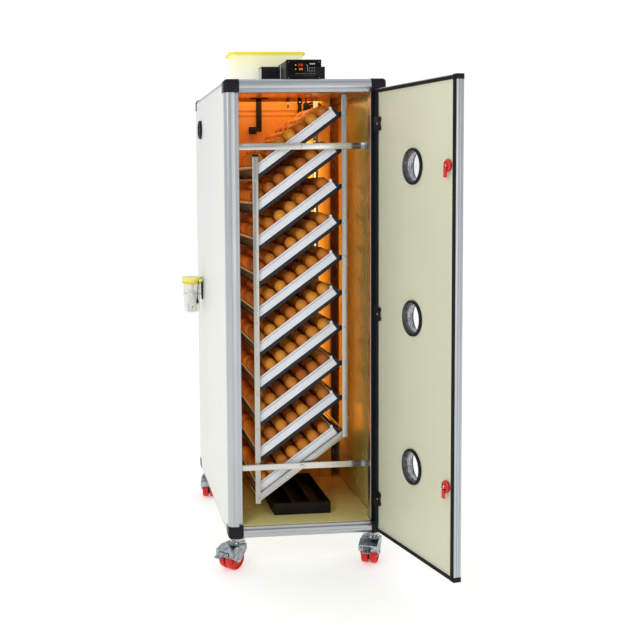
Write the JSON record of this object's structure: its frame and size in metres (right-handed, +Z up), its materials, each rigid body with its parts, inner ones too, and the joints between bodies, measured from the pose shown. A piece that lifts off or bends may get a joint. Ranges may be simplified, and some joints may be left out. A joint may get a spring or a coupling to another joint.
{
  "type": "egg incubator",
  "caption": "Cabinet egg incubator on casters: aluminium frame with sandwich panels, side-hung door with portholes, tilting rack of egg trays, and roof-mounted controller and water tank.",
  "frame": {"origin": "on the floor under the centre of the cabinet, without its open door", "axes": "+Z up, +X to the right along the front, +Y to the back, so the doorway faces -Y"},
  "size_m": [0.6919, 1.3651, 1.6993],
  "materials": {
    "aluminium": "satin anodised",
    "side_panel": "satin off-white",
    "cream_panel": "satin cream",
    "orange_panel": "satin, lit by warm lamps",
    "black_rubber": "matt",
    "black_plastic": "moulded black",
    "dark_glass": "polished pane",
    "red_plastic": "moulded red",
    "red_wheel": "moulded red tread",
    "zinc": "zinc plated",
    "steel": "brushed stainless",
    "bright_steel": "bright plated",
    "white_tray": "moulded white",
    "clear_tank": "translucent",
    "yellow_plastic": "moulded yellow",
    "clear_plastic": "clear",
    "grey_plastic": "moulded grey",
    "orange_fan_guard": "moulded orange",
    "display_red": "lit digits",
    "display_orange": "lit digits",
    "warm_lamp": "lit strip",
    "egg_shell": "matt brown shell",
    "label_white": "printed",
    "water": "clear"
  },
  "bodies": {
    "cabinet": {"post_front_left": "aluminium", "post_front_right": "aluminium", "post_rear_left": "aluminium", "post_rear_right": "aluminium", "top_frame": "aluminium", "bottom_frame": "aluminium", "left_panel": "side_panel", "right_panel": "side_panel", "back_panel": "side_panel", "roof_panel": "side_panel", "floor_panel": "cream_panel", "hinge_upper": "black_plastic", "hinge_middle": "black_plastic", "hinge_lower": "black_plastic", "upper_crossbar": "steel", "lower_crossbar": "steel", "air_baffle": "orange_panel", "heater": "steel", "turning_motor": "grey_plastic", "water_tray": "black_plastic", "controller_box": "black_plastic", "power_box": "black_plastic", "water_tank": "clear_tank", "cup_holder": "black_plastic", "side_vent": "black_plastic"},
    "door": {"door_frame": "aluminium", "door_panel": "cream_panel", "door_gasket": "black_rubber", "porthole_upper": "black_plastic", "porthole_middle": "black_plastic", "porthole_lower": "black_plastic"},
    "latch_upper": {"latch_upper": "red_plastic"},
    "latch_lower": {"latch_lower": "red_plastic"},
    "tray_10": {"tilt_arm": "steel", "egg_tray_10": "white_tray"},
    "left_link": {"left_link": "steel"},
    "right_link": {"right_link": "steel"},
    "fan": {"fan_rotor": "black_plastic"},
    "tank_lid": {"tank_lid": "yellow_plastic"},
    "cup": {"side_cup": "clear_plastic"},
    "cup_lid": {"cup_lid": "yellow_plastic"},
    "tray_01": {"egg_tray_01": "white_tray"},
    "tray_02": {"egg_tray_02": "white_tray"},
    "tray_03": {"egg_tray_03": "white_tray"},
    "tray_04": {"egg_tray_04": "white_tray"},
    "tray_05": {"egg_tray_05": "white_tray"},
    "tray_06": {"egg_tray_06": "white_tray"},
    "tray_07": {"egg_tray_07": "white_tray"},
    "tray_08": {"egg_tray_08": "white_tray"},
    "tray_09": {"egg_tray_09": "white_tray"},
    "caster_front_left": {"caster_fork_front_left": "zinc"},
    "wheel_front_left": {"caster_wheel_front_left": "red_wheel"},
    "pedal_front_left": {"brake_pedal_front_left": "zinc"},
    "caster_front_right": {"caster_fork_front_right": "zinc"},
    "wheel_front_right": {"caster_wheel_front_right": "red_wheel"},
    "pedal_front_right": {"brake_pedal_front_right": "zinc"},
    "caster_rear_left": {"caster_fork_rear_left": "zinc"},
    "wheel_rear_left": {"caster_wheel_rear_left": "red_wheel"},
    "caster_rear_right": {"caster_fork_rear_right": "zinc"},
    "wheel_rear_right": {"caster_wheel_rear_right": "red_wheel"}
  },
  "joints": [
    {"name": "door_swing", "type": "hinge", "parent": "cabinet", "child": "door", "pos_m": [0.228, -0.458, 0.831], "axis": [0, 0, 1], "range_deg": [-101.9, 20]},
    {"name": "latch_upper_turn", "type": "hinge", "parent": "door", "child": "latch_upper", "pos_m": [0.31791, -0.88463, 1.294], "axis": [-0.9785, -0.2062, 0], "range_deg": [0, 90]},
    {"name": "latch_lower_turn", "type": "hinge", "parent": "door", "child": "latch_lower", "pos_m": [0.31791, -0.88463, 0.388], "axis": [-0.9785, -0.2062, 0], "range_deg": [0, 90]},
    {"name": "tilt", "type": "hinge", "parent": "cabinet", "child": "tray_10", "pos_m": [-0.008, 0, 0.323], "axis": [0, 1, 0], "range_deg": [0, 72]},
    {"name": "tray_01_tilt", "type": "hinge", "parent": "cabinet", "child": "tray_01", "pos_m": [-0.008, 0, 1.367], "axis": [0, 1, 0], "range_deg": [0, 72]},
    {"name": "tray_02_tilt", "type": "hinge", "parent": "cabinet", "child": "tray_02", "pos_m": [-0.008, 0, 1.251], "axis": [0, 1, 0], "range_deg": [0, 72]},
    {"name": "tray_03_tilt", "type": "hinge", "parent": "cabinet", "child": "tray_03", "pos_m": [-0.008, 0, 1.135], "axis": [0, 1, 0], "range_deg": [0, 72]},
    {"name": "tray_04_tilt", "type": "hinge", "parent": "cabinet", "child": "tray_04", "pos_m": [-0.008, 0, 1.019], "axis": [0, 1, 0], "range_deg": [0, 72]},
    {"name": "tray_05_tilt", "type": "hinge", "parent": "cabinet", "child": "tray_05", "pos_m": [-0.008, 0, 0.903], "axis": [0, 1, 0], "range_deg": [0, 72]},
    {"name": "tray_06_tilt", "type": "hinge", "parent": "cabinet", "child": "tray_06", "pos_m": [-0.008, 0, 0.787], "axis": [0, 1, 0], "range_deg": [0, 72]},
    {"name": "tray_07_tilt", "type": "hinge", "parent": "cabinet", "child": "tray_07", "pos_m": [-0.008, 0, 0.671], "axis": [0, 1, 0], "range_deg": [0, 72]},
    {"name": "tray_08_tilt", "type": "hinge", "parent": "cabinet", "child": "tray_08", "pos_m": [-0.008, 0, 0.555], "axis": [0, 1, 0], "range_deg": [0, 72]},
    {"name": "tray_09_tilt", "type": "hinge", "parent": "cabinet", "child": "tray_09", "pos_m": [-0.008, 0, 0.439], "axis": [0, 1, 0], "range_deg": [0, 72]},
    {"name": "left_link_pin", "type": "hinge", "parent": "tray_10", "child": "left_link", "pos_m": [-0.15362, 0, 0.2172], "axis": [0, 1, 0], "range_deg": [-72, 0]},
    {"name": "right_link_pin", "type": "hinge", "parent": "tray_10", "child": "right_link", "pos_m": [0.13762, 0, 0.4288], "axis": [0, 1, 0], "range_deg": [-72, 0]},
    {"name": "fan_spin", "type": "hinge", "parent": "cabinet", "child": "fan", "pos_m": [0.135, 0.075, 1.5], "axis": [0, 1, 0], "continuous": true},
    {"name": "swivel_front_left", "type": "hinge", "parent": "cabinet", "child": "caster_front_left", "pos_m": [-0.225, -0.395, 0.09], "axis": [0, 0, 1], "continuous": true},
    {"name": "roll_front_left", "type": "hinge", "parent": "caster_front_left", "child": "wheel_front_left", "pos_m": [-0.24878, -0.41641, 0.0375], "axis": [0.6691, -0.7431, 0], "continuous": true},
    {"name": "pedal_front_left", "type": "hinge", "parent": "caster_front_left", "child": "pedal_front_left", "pos_m": [-0.28408, -0.4482, 0.062], "axis": [-0.6691, 0.7431, 0], "range_deg": [0, 20]},
    {"name": "swivel_front_right", "type": "hinge", "parent": "cabinet", "child": "caster_front_right", "pos_m": [0.225, -0.395, 0.09], "axis": [0, 0, 1], "continuous": true},
    {"name": "roll_front_right", "type": "hinge", "parent": "caster_front_right", "child": "wheel_front_right", "pos_m": [0.21097, -0.42376, 0.0375], "axis": [0.8988, -0.4384, 0], "continuous": true},
    {"name": "pedal_front_right", "type": "hinge", "parent": "caster_front_right", "child": "pedal_front_right", "pos_m": [0.19015, -0.46645, 0.062], "axis": [-0.8988, 0.4384, 0], "range_deg": [0, 20]},
    {"name": "swivel_rear_left", "type": "hinge", "parent": "cabinet", "child": "caster_rear_left", "pos_m": [-0.225, 0.395, 0.09], "axis": [0, 0, 1], "continuous": true},
    {"name": "roll_rear_left", "type": "hinge", "parent": "caster_rear_left", "child": "wheel_rear_left", "pos_m": [-0.23165, 0.3637, 0.0375], "axis": [0.9781, -0.2079, 0], "continuous": true},
    {"name": "swivel_rear_right", "type": "hinge", "parent": "cabinet", "child": "caster_rear_right", "pos_m": [0.225, 0.395, 0.09], "axis": [0, 0, 1], "continuous": true},
    {"name": "roll_rear_right", "type": "hinge", "parent": "caster_rear_right", "child": "wheel_rear_right", "pos_m": [0.23852, 0.366, 0.0375], "axis": [0.9063, 0.4226, 0], "continuous": true},
    {"name": "tank_lid_lift", "type": "slide", "parent": "cabinet", "child": "tank_lid", "axis": [0, 0, 1], "range_m": [0, 0.08]},
    {"name": "cup_lift", "type": "slide", "parent": "cabinet", "child": "cup", "axis": [0, 0, 1], "range_m": [0, 0.12]},
    {"name": "cup_lid_lift", "type": "slide", "parent": "cup", "child": "cup_lid", "axis": [0, 0, 1], "range_m": [0, 0.04]}
  ],
  "couplings": [
    {"joint": "tray_01_tilt", "follows": "tilt", "ratio": 1},
    {"joint": "tray_02_tilt", "follows": "tilt", "ratio": 1},
    {"joint": "tray_03_tilt", "follows": "tilt", "ratio": 1},
    {"joint": "tray_04_tilt", "follows": "tilt", "ratio": 1},
    {"joint": "tray_05_tilt", "follows": "tilt", "ratio": 1},
    {"joint": "tray_06_tilt", "follows": "tilt", "ratio": 1},
    {"joint": "tray_07_tilt", "follows": "tilt", "ratio": 1},
    {"joint": "tray_08_tilt", "follows": "tilt", "ratio": 1},
    {"joint": "tray_09_tilt", "follows": "tilt", "ratio": 1},
    {"joint": "left_link_pin", "follows": "tilt", "ratio": -1},
    {"joint": "right_link_pin", "follows": "tilt", "ratio": -1}
  ]
}
